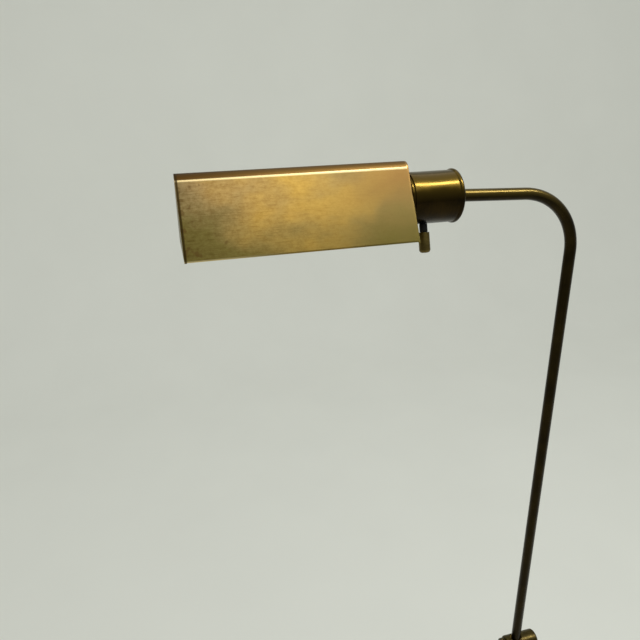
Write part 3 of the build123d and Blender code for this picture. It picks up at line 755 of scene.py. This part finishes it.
def make_shade():
    finish = FINISHES["shade_brass"]
    ridge = Arc((0, RIDGE_Z), RIDGE_TURN)
    length = SHADE_HIGH.x - SHADE_LOW.x

    # The sheet is one fold over the ridge, with both lower edges folded back inside as hems.
    # A narrow strip beside each bend keeps the panels flat.
    bm = bmesh.new()
    hem_in = 2 * SHEET + HEM_GAP
    fold_in = hem_in / 2
    fold = panel_down(fold_in, FOOT_Z + fold_in)
    hem_top = fold - HEM_H / math.cos(SLANT)
    outline(
        bm,
        on_panel(hem_in, hem_top, 1),
        on_panel(hem_in, fold, 1),
        Arc(on_panel(fold_in, fold, 1), 180),
        on_panel(0, fold - FLAT_EDGE, 1),
        on_panel(0, FLAT_EDGE, 1),
        on_panel(0, 0, 1),
        ridge,
        on_panel(0, FLAT_EDGE, -1),
        on_panel(0, fold - FLAT_EDGE, -1),
        on_panel(0, fold, -1),
        Arc(on_panel(fold_in, fold, -1), 180),
        on_panel(hem_in, hem_top, -1),
    )
    sheet = bmesh.ops.extrude_edge_only(bm, edges=bm.edges[:])
    carry(bm, sheet, (0, length, 0))
    bmesh.ops.solidify(bm, geom=bm.faces[:], thickness=SHEET)
    place = Matrix.Translation((SHADE_HIGH.x, 0, AXIS_Z)) @ QUARTER_TURN
    piece("shade_sheet", bm, "head", "shade_brass", finish, "shade_shell", place=place)

    make_shade_end("shade_cap_outer", "shade_end_outer", None)
    make_shade_end("shade_cap_inner", "shade_end_inner", NECK_BORE_R)


def make_shade_end(name, node, hole_r):
    """An end plate with a rounded outer edge and a lip that stands inside the sheet."""
    low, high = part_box(node)
    outer_end = hole_r is None
    thick = high.x - low.x - LIP_L
    foot = panel_down(0, FOOT_Z)

    bm = bmesh.new()
    outline(
        bm,
        on_panel(0, foot, 1),
        on_panel(0, 0, 1),
        Arc((0, RIDGE_Z), RIDGE_TURN),
        on_panel(0, foot, -1),
        on_panel(0, foot, 1),
    )
    bmesh.ops.remove_doubles(bm, verts=bm.verts[:], dist=WELD)
    if hole_r:
        bmesh.ops.create_circle(
            bm, segments=AROUND, radius=hole_r, matrix=Matrix.Rotation(math.radians(90), 4, "X")
        )
    bmesh.ops.triangle_fill(bm, edges=bm.edges[:], use_beauty=True)
    plate = bmesh.ops.extrude_face_region(bm, geom=bm.faces[:])
    carry(bm, plate, (0, thick, 0))
    bmesh.ops.recalc_face_normals(bm, faces=bm.faces[:])
    rim = [
        e
        for e in bm.edges
        if e.calc_face_angle(0) > SHARP
        and all(abs(v.co.y) < WELD and v.co.xz.length > NECK_BORE_R + SHEET for v in e.verts)
    ]
    soften(bm, END_EDGE_R, rim, segments=5)

    lip = bmesh.new()
    inset = LIP_GAP + SHEET
    lip_foot = panel_down(inset, FOOT_Z + HEM_H + LIP_GAP)
    outline(
        lip,
        on_panel(inset, lip_foot, 1),
        on_panel(inset, 0, 1),
        Arc((0, RIDGE_Z), RIDGE_TURN),
        on_panel(inset, lip_foot, -1),
    )
    bmesh.ops.translate(lip, verts=lip.verts[:], vec=(0, thick - SHEET / 2, 0))
    band = bmesh.ops.extrude_edge_only(lip, edges=lip.edges[:])
    carry(lip, band, (0, LIP_L + SHEET / 2, 0))
    bmesh.ops.recalc_face_normals(lip, faces=lip.faces[:])
    bmesh.ops.solidify(lip, geom=lip.faces[:], thickness=SHEET)
    add_to(bm, lip)

    # From its outer face a plate runs inwards: towards +X at the outer end, towards -X at the inner one.
    if outer_end:
        place = Matrix.Translation((low.x, 0, AXIS_Z)) @ Matrix.Rotation(math.radians(-90), 4, "Z")
    else:
        place = Matrix.Translation((high.x, 0, AXIS_Z)) @ QUARTER_TURN
    piece(name, bm, "head", "shade_brass", FINISHES["shade_brass"], node, place=place)


# Cup, neck and the fasteners on them.
def make_cup():
    length = CUP_BACK_X - CUP_FRONT_X
    inner_r = CUP_R - CUP_WALL
    bead = arc_through(
        (CUP_R, length - CUP_BEAD_L), (CUP_HIGH.y, length - CUP_BEAD_L / 2), (CUP_R, length)
    )
    bm = turned(
        (inner_r, 0),
        (CUP_R, 0),
        (CUP_R, length - CUP_BEAD_L),
        bead,
        (CUP_HOLE_R, length),
        (CUP_HOLE_R, length - CUP_WALL),
        (inner_r, length - CUP_WALL),
    )
    bmesh.ops.transform(bm, matrix=level_at(CUP_FRONT_X, AXIS_Z), verts=bm.verts[:])

    # The wall is cut across on both sides of the switch, so that the hole for its shaft leaves the rest
    # even.
    for side in (1, -1):
        geom = bm.verts[:] + bm.edges[:] + bm.faces[:]
        beside = (SWITCH_X + side * SWITCH_CUT, 0, 0)
        bmesh.ops.bisect_plane(bm, geom=geom, plane_co=beside, plane_no=(1, 0, 0))
    bm = drilled(bm, SWITCH_HOLE_R, SHAFT_TOP, SWITCH_KNOB_TOP, SWITCH_PLACE)
    finish = FINISHES["cup_brass"]
    piece("cup_shell", bm, "head", "cup_brass", finish, "socket_cup")

    neck_l = CUP_FRONT_X - SHADE_X
    plug_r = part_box("cup_neck")[1].y
    bm = turned(
        (NECK_BORE_R, 0),
        (NECK_R, 0),
        (NECK_R, neck_l),
        (plug_r, neck_l),
        (plug_r, neck_l + NECK_PLUG_L),
        (NECK_BORE_R, neck_l + NECK_PLUG_L),
    )
    piece("cup_neck_ring", bm, "head", "cup_brass", finish, "cup_neck", place=level_at(SHADE_X, AXIS_Z))

    rivets_low, rivets_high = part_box("strap_rivets")
    bm = bmesh.new()
    tail_l = CUP_BACK_X - rivets_low.x
    crown = (RIVET_R * RIVET_CROWN_OUT, tail_l + RIVET_H * RIVET_CROWN_UP)
    for z in (rivets_low.z + RIVET_R, rivets_high.z - RIVET_R):
        rivet = turned(
            (0, 0),
            (RIVET_R, 0),
            (RIVET_R, RIVET_H),
            (RIVET_R / 2, RIVET_H),
            (RIVET_R / 2, tail_l),
            (RIVET_R, tail_l),
            arc_through((RIVET_R, tail_l), crown, (0, tail_l + RIVET_H)),
            soft=0,
        )
        bmesh.ops.transform(rivet, matrix=level_at(rivets_low.x, z), verts=rivet.verts[:])
        add_to(bm, rivet)
    piece("cup_rivets", bm, "head", "cup_brass", finish, "strap_rivets")


# Tubes. Each point keeps where it lay on the straight tube, so that marks follow the bend.
def tube_start(low):
    """The first ring of a tube, standing on a point."""
    bm = bmesh.new()
    straight = bm.verts.layers.float_vector.new("straight")
    bmesh.ops.create_circle(bm, segments=TUBE_AROUND, radius=TUBE_R)
    for v in bm.verts:
        v[straight] = v.co
    bmesh.ops.translate(bm, verts=bm.verts[:], vec=low)
    return bm, straight, bm.edges[:]


def tube_on(bm, straight, ring, length):
    """Gives the tube one more ring, noted as a length further on, and returns its edges and points.

    The new ring lies on the last one until it is moved.
    """
    made = bmesh.ops.extrude_edge_only(bm, edges=ring)["geom"]
    points = [v for v in made if isinstance(v, bmesh.types.BMVert)]
    for v in points:
        v[straight] = v[straight] + Vector((0, 0, length))
    edges = [e for e in made if isinstance(e, bmesh.types.BMEdge) and all(v in points for v in e.verts)]
    return edges, points


def make_rods():
    finish = FINISHES["tube_brass"]
    arm = Vector((-math.cos(ARM_RISE), 0, math.sin(ARM_RISE)))
    arm_l = (ROD_X - CUP_BACK_X) / math.cos(ARM_RISE) - TANGENT_L - COLLAR_SEAT

    bm, straight, ring = tube_start((ROD_X, 0, ROD_LOW.z))
    ring, points = tube_on(bm, straight, ring, UPRIGHT_L)
    bmesh.ops.translate(bm, verts=points, vec=(0, 0, UPRIGHT_L))
    steps = math.ceil(math.degrees(BEND) / (ARC_STEP / 2))
    centre = (ROD_X - BEND_R, 0, CORNER_Z - TANGENT_L)
    for _ in range(steps):
        ring, points = tube_on(bm, straight, ring, BEND_R * BEND / steps)
        bmesh.ops.rotate(bm, verts=points, cent=centre, matrix=Matrix.Rotation(-BEND / steps, 3, "Y"))
    points = tube_on(bm, straight, ring, arm_l)[1]
    bmesh.ops.translate(bm, verts=points, vec=arm * arm_l)
    finish_tube(bm)
    piece("bent_tube", bm, "rod", "tube_brass", finish, "bent_rod")

    # The stem's upper end is coped to fit the barrel's underside.
    bm, straight, ring = tube_start((0, 0, STEM_LOW.z))
    points = tube_on(bm, straight, ring, STEM_HIGH.z - STEM_LOW.z)[1]
    for v in points:
        v.co.z = BARREL_Z - math.sqrt(BARREL_R**2 - v.co.y**2)
    finish_tube(bm)
    piece("stem_pipe", bm, "stand", "tube_brass", finish, "stem_tube")


def finish_tube(bm):
    """Turns the tube's faces outwards and gives it its wall."""
    bmesh.ops.recalc_face_normals(bm, faces=bm.faces[:])
    bmesh.ops.solidify(bm, geom=bm.faces[:], thickness=TUBE_WALL)


def make_rod_ends():
    finish = FINISHES["turned_brass"]
    low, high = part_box("swivel_spigot")
    collar_r = high.y
    collar_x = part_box("friction_washer")[1].x
    spigot_l = collar_x - low.x
    end = high.x - low.x
    bm = turned(
        (SPIGOT_BORE_R, 0),
        (SPIGOT_R, 0),
        (SPIGOT_R, spigot_l),
        (collar_r, spigot_l),
        (collar_r, end),
        (COLLAR_BORE_R, end),
        (COLLAR_BORE_R, end - COLLAR_SEAT),
        (SPIGOT_BORE_R, end - COLLAR_SEAT),
    )
    piece("arm_collar", bm, "rod", "tube_brass", finish, "swivel_spigot", place=level_at(low.x, AXIS_Z))

    low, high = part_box("rod_ferrule")
    ring_r = (high.x - low.x) / 2
    ring_l = high.z - low.z
    bm = turned(
        (FERRULE_BORE_R, 0),
        (ring_r, 0),
        (ring_r, ring_l),
        (TUBE_R, ring_l),
        (TUBE_R, FERRULE_WALL),
        (FERRULE_BORE_R, FERRULE_WALL),
        soft=2 * SOFT_EDGE,
    )
    place = Matrix.Translation((ROD_X, 0, low.z))
    piece("rod_end_ring", bm, "rod", "tube_brass", finish, "rod_ferrule", place=place)


# Base.
def make_base():
    low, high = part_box("base_cover")
    edge_x = high.x - BASE_EDGE_R
    dome_z = BASE_EDGE_Z - math.sqrt((BASE_DOME_R - BASE_EDGE_R) ** 2 - edge_x**2)
    turn = math.degrees(math.atan2(edge_x, BASE_EDGE_Z - dome_z))
    land = math.degrees(math.acos((high.z - dome_z) / BASE_DOME_R))
    bm = bmesh.new()
    outline(
        bm,
        (high.x, low.z),
        (high.x, BASE_EDGE_Z),
        Arc((edge_x, BASE_EDGE_Z), 90 - turn),
        Arc((0, dome_z), turn - land),
        (BASE_HOLE_R, high.z),
    )
    turn_once(bm)
    bmesh.ops.solidify(bm, geom=bm.faces[:], thickness=COVER_WALL)
    piece("base_dome", bm, "stand", "base_brass", FINISHES["base_brass"], "base_cover")

    low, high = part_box("stem_flange")
    lip_z = low.z + FLANGE_LIP_H
    neck_z = low.z + FLANGE_NECK_H
    scoop = (
        FLANGE_NECK_R + (high.x - FLANGE_NECK_R) * FLANGE_SCOOP,
        lip_z + (neck_z - lip_z) * FLANGE_SCOOP,
    )
    bm = turned(
        (TUBE_R, low.z),
        (high.x, low.z),
        (high.x, lip_z),
        arc_through((high.x, lip_z), scoop, (FLANGE_NECK_R, neck_z)),
        (FLANGE_NECK_R, high.z),
        (TUBE_R, high.z),
        soft=2 * SOFT_EDGE,
    )
    piece("stem_foot", bm, "stand", "turned_brass", FINISHES["turned_brass"], "stem_flange")


# Knobs.
def make_knobs():
    finish = FINISHES["turned_brass"]
    low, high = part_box("clamp_knob")
    knob_r = high.y
    crown_l = high.x - low.x - KNOB_RIM_L

    # The rim is a disc whose edge is drawn in at every flute, with a smaller round crown on its outer
    # face.
    bm = bmesh.new()
    bmesh.ops.create_circle(bm, cap_ends=True, segments=POINTS_PER_FLUTE * KNOB_FLUTES, radius=knob_r)
    for number, v in enumerate(bm.verts):
        if number % POINTS_PER_FLUTE == 0:
            v.co.xy *= 1 - KNOB_FLUTE_DEPTH / knob_r
    disc = bmesh.ops.extrude_face_region(bm, geom=bm.faces[:])
    carry(bm, disc, (0, 0, KNOB_RIM_L))
    bmesh.ops.recalc_face_normals(bm, faces=bm.faces[:])
    rims = [e for e in bm.edges if e.calc_face_angle(0) > SQUARE_RIM]
    soften(bm, SOFT_EDGE, rims, segments=2)
    crown = turned(
        (0, 0),
        (KNOB_CROWN_R, 0),
        (KNOB_CROWN_R, crown_l - KNOB_CROWN_EDGE_R),
        Arc((KNOB_CROWN_R - KNOB_CROWN_EDGE_R, crown_l - KNOB_CROWN_EDGE_R), 90),
        (0, crown_l),
        soft=0,
    )
    bmesh.ops.translate(crown, verts=crown.verts[:], vec=(0, 0, KNOB_RIM_L))
    add_to(bm, crown)
    place = level_at(high.x, BARREL_Z, way=-1)
    piece("thumb_knob", bm, "clamp_knob", "turned_brass", finish, "clamp_knob", place=place)

    knob_end = Arc((SWITCH_KNOB_R - SWITCH_KNOB_END_R, SWITCH_KNOB_BOTTOM - SWITCH_KNOB_END_R), 90)
    bm = turned(
        (SHAFT_R, SWITCH_KNOB_TOP),
        (SWITCH_KNOB_R, SWITCH_KNOB_TOP),
        (SWITCH_KNOB_R, SWITCH_KNOB_BOTTOM - SWITCH_KNOB_END_R),
        knob_end,
        (0, SWITCH_KNOB_BOTTOM),
        (0, SWITCH_KNOB_TOP + SHAFT_R),
        (SHAFT_R, SWITCH_KNOB_TOP + SHAFT_R),
    )
    finish = LIGHTER_KNOB_BRASS
    piece("switch_finger_knob", bm, "switch", "turned_brass", finish, "switch_knob", place=SWITCH_PLACE)

    # The shaft has a wider collar between the cup and the knob, clear of both.
    collar_top = CUP_R + SWITCH_COLLAR_GAP
    collar_end = SWITCH_KNOB_TOP - SWITCH_COLLAR_GAP
    bm = turned(
        (0, SHAFT_TOP),
        (SHAFT_R, SHAFT_TOP),
        (SHAFT_R, collar_top),
        (SWITCH_COLLAR_R, collar_top),
        (SWITCH_COLLAR_R, collar_end),
        (SHAFT_R, collar_end),
        (SHAFT_R, SWITCH_KNOB_TOP + SHAFT_R),
        (0, SWITCH_KNOB_TOP + SHAFT_R),
        soft=SOFT_EDGE / 2,
    )
    black = FINISHES["black_plastic"]
    piece("switch_stalk", bm, "switch", "black_plastic", black, "switch_shaft", place=SWITCH_PLACE)


# Small parts.
def slotted_screw(length):
    """A round headed screw about the upright axis, with its head at the top."""
    bm = turned((0, 0), (SCREW_SHANK_R, 0), (SCREW_SHANK_R, length), (0, length))
    head = bmesh.new()
    bmesh.ops.create_circle(head, cap_ends=True, segments=TUBE_AROUND, radius=SCREW_HEAD_R)
    disc = bmesh.ops.extrude_face_region(head, geom=head.faces[:])
    carry(head, disc, (0, 0, SCREW_HEAD_H))
    bmesh.ops.recalc_face_normals(head, faces=head.faces[:])
    soften(head, SCREW_EDGE_R)

    # The slot is a strip of the top, cut out by four planes and sunk.
    reach = SCREW_HEAD_R - SCREW_EDGE_R - SOFT_EDGE
    for way, half in (((1, 0, 0), reach), ((0, 1, 0), SCREW_SLOT_W / 2)):
        for side in (1, -1):
            geom = head.verts[:] + head.edges[:] + head.faces[:]
            bmesh.ops.bisect_plane(head, geom=geom, plane_co=Vector(way) * half * side, plane_no=way)
    strip = []
    for face in head.faces:
        middle = face.calc_center_median()
        if middle.z > SCREW_HEAD_H - WELD and abs(middle.x) < reach and abs(middle.y) < SCREW_SLOT_W / 2:
            strip.append(face)
    sunk = bmesh.ops.extrude_face_region(head, geom=strip)
    carry(head, sunk, (0, 0, -SCREW_SLOT_D))
    bmesh.ops.translate(head, verts=head.verts[:], vec=(0, 0, length))
    add_to(bm, head)
    return bm


def make_small_parts():
    low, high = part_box("neck_screws")
    bm = bmesh.new()
    for angle in SCREW_ANGLES:
        screw = slotted_screw(high.x - low.x - SCREW_HEAD_H)
        across = SCREW_PCR * math.cos(math.radians(angle))
        up = SCREW_PCR * math.sin(math.radians(angle))
        place = level_at(high.x, AXIS_Z + up, y=across, way=-1)
        bmesh.ops.transform(screw, matrix=place, verts=screw.verts[:])
        add_to(bm, screw)
    piece("slotted_screws", bm, "head", "steel", FINISHES["steel"], "neck_screws")

    low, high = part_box("socket_body")
    length = high.x - low.x
    bm = turned(
        (SOCKET_WELL_R, 0),
        (high.y, 0),
        (high.y, length),
        (0, length),
        (0, SOCKET_WELL_L),
        (SOCKET_WELL_R, SOCKET_WELL_L),
        soft=2 * SOFT_EDGE,
    )
    place = level_at(low.x, AXIS_Z)
    piece("socket_ring", bm, "head", "porcelain", FINISHES["porcelain"], "socket_body", place=place)

    low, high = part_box("lead_bush")
    lip_r = (high.x - low.x) / 2
    height = high.z - low.z
    bm = turned(
        (GROMMET_BORE_R, 0),
        (lip_r, 0),
        (lip_r, GROMMET_LIP_H),
        (GROMMET_R, GROMMET_LIP_H),
        (GROMMET_R, height),
        (GROMMET_BORE_R, height),
        soft=2 * SOFT_EDGE,
    )
    place = Matrix.Translation((ROD_X, 0, low.z))
    piece("lead_grommet", bm, "rod", "black_plastic", FINISHES["black_plastic"], "lead_bush", place=place)

    low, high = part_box("base_pad")
    bm = turned((0, low.z), (high.x, low.z), (high.x, high.z), (0, high.z), soft=FELT_EDGE_R)
    piece("felt_disc", bm, "stand", "felt", FINISHES["felt"], "base_pad")


# Floor and backdrop in one sweep.
def make_stage():
    bm = bmesh.new()
    outline(
        bm,
        (FLOOR_FRONT, -FLOOR_DROP),
        (FLOOR_BACK, -FLOOR_DROP),
        Arc((FLOOR_BACK, SWEEP_R - FLOOR_DROP), 90),
        (FLOOR_BACK + SWEEP_R, WALL_TOP),
    )
    made = bmesh.ops.extrude_edge_only(bm, edges=bm.edges[:])
    carry(bm, made, (0, 2 * FLOOR_HALF_W, 0))
    place = Matrix.Translation((FLOOR_HALF_W, 0, 0)) @ QUARTER_TURN
    bmesh.ops.transform(bm, matrix=place, verts=bm.verts[:])
    bmesh.ops.recalc_face_normals(bm, faces=bm.faces[:])
    for face in bm.faces:
        face.smooth = True
    mesh = bpy.data.meshes.new("floor_sweep")
    bm.to_mesh(mesh)
    bm.free()

    # Painted board: matt, with very faint clouds. Where it is seen, straight, in a shine or through
    # glass, part of its brightness is its own.
    paint, tree, shader = new_material("pale_painted_board", Roughness=0.9, Specular_IOR_Level=0.2)
    where = add(tree, "TexCoord").outputs["Object"]
    pattern = {"Vector": where, "Scale": per_metre(BACKDROP_CLOUD_MM), "Detail": 2.0}
    clouds = add(tree, "TexNoise", pattern).outputs["Fac"]
    layers = {0: clouds, 6: linear(BACKDROP_COLOUR), 7: linear(BACKDROP_SECOND)}
    tone = add(tree, "Mix", layers, data_type="RGBA").outputs[2]
    tree.links.new(tone, shader.inputs["Base Color"])
    ray = add(tree, "LightPath")
    seen = ray.outputs["Is Camera Ray"]
    for other in ("Is Glossy Ray", "Is Transmission Ray"):
        seen = add(tree, "Math", {0: seen, 1: ray.outputs[other]}, operation="MAXIMUM").outputs[0]
    share = add(tree, "Math", {0: seen, 1: BACKDROP_OWN_SHARE}, operation="MULTIPLY").outputs[0]
    own = add(tree, "Emission", {"Color": tone}).outputs["Emission"]
    mixed = add(tree, "MixShader", {0: share, 1: shader.outputs["BSDF"], 2: own})
    tree.links.new(mixed.outputs[0], tree.nodes["Material Output"].inputs["Surface"])
    mesh.materials.append(paint)
    sweep = bpy.data.objects.new("floor_sweep", mesh)
    bpy.context.scene.collection.objects.link(sweep)


def add_light(name, at, target, size, power, shape):
    """Adds a soft light that looks at a target and isn't seen itself."""
    lamp = bpy.data.lights.new(name, "AREA")
    lamp.shape = shape
    lamp.size, lamp.size_y = size
    lamp.energy = power
    holder = bpy.data.objects.new(name, lamp)
    holder.location = at
    holder.rotation_euler = (target - at).to_track_quat("-Z", "Y").to_euler()
    holder.visible_camera = False
    bpy.context.scene.collection.objects.link(holder)


def make_lights():
    shade_middle = Vector(((SHADE_LOW.x + SHADE_HIGH.x) / 2, 0, AXIS_Z))
    key_way = Vector((0, -math.cos(KEY_ELEVATION), math.sin(KEY_ELEVATION)))
    key_at = shade_middle + key_way * KEY_DISTANCE + Vector((KEY_SIDE, 0, 0))
    key_target = shade_middle + Vector((KEY_SIDE, 0, 0))
    add_light("key_strip", key_at, key_target, KEY_SIZE, KEY_POWER, "RECTANGLE")
    fill_at = shade_middle + Vector(FILL_DIRECTION).normalized() * FILL_DISTANCE
    add_light("soft_fill", fill_at, shade_middle, FILL_SIZE, FILL_POWER, "ELLIPSE")
    roof_at = Vector((shade_middle.x, 0, ROOF_HEIGHT))
    add_light("soft_roof", roof_at, shade_middle, ROOF_SIZE, ROOF_POWER, "RECTANGLE")

    world = bpy.data.worlds.new("studio")
    world.use_nodes = True
    sky = world.node_tree.nodes["Background"]
    sky.inputs["Color"].default_value = linear(WORLD_GREY)
    bpy.context.scene.world = world


def make_camera():
    camera = bpy.data.objects.new("camera", bpy.data.cameras.new("camera"))
    camera.data.sensor_width = SENSOR
    camera.data.lens = LENS
    camera.data.clip_start = CLIP_START
    camera.matrix_world = (
        Matrix.Translation(CAMERA_AT)
        @ Matrix.Rotation(-CAMERA_YAW, 4, "Z")
        @ Matrix.Rotation(math.pi / 2 - CAMERA_PITCH, 4, "X")
        @ Matrix.Rotation(-CAMERA_ROLL, 4, "Z")
    )
    bpy.context.scene.collection.objects.link(camera)
    bpy.context.scene.camera = camera


def dress_frame():
    """Gives every CAD node that still shows the finish of its slot."""
    for row in frame["record"]["subparts"]:
        node = frame["nodes"][row["node"]]
        if not node.hide_render:
            node.data.materials.clear()
            node.data.materials.append(FINISHES[row["material_slot"]])


make_shade()
make_cup()
make_rods()
make_rod_ends()
make_base()
make_knobs()
make_small_parts()
dress_frame()
make_stage()
make_lights()
make_camera()
bpy.context.scene.view_settings.view_transform = "Standard"
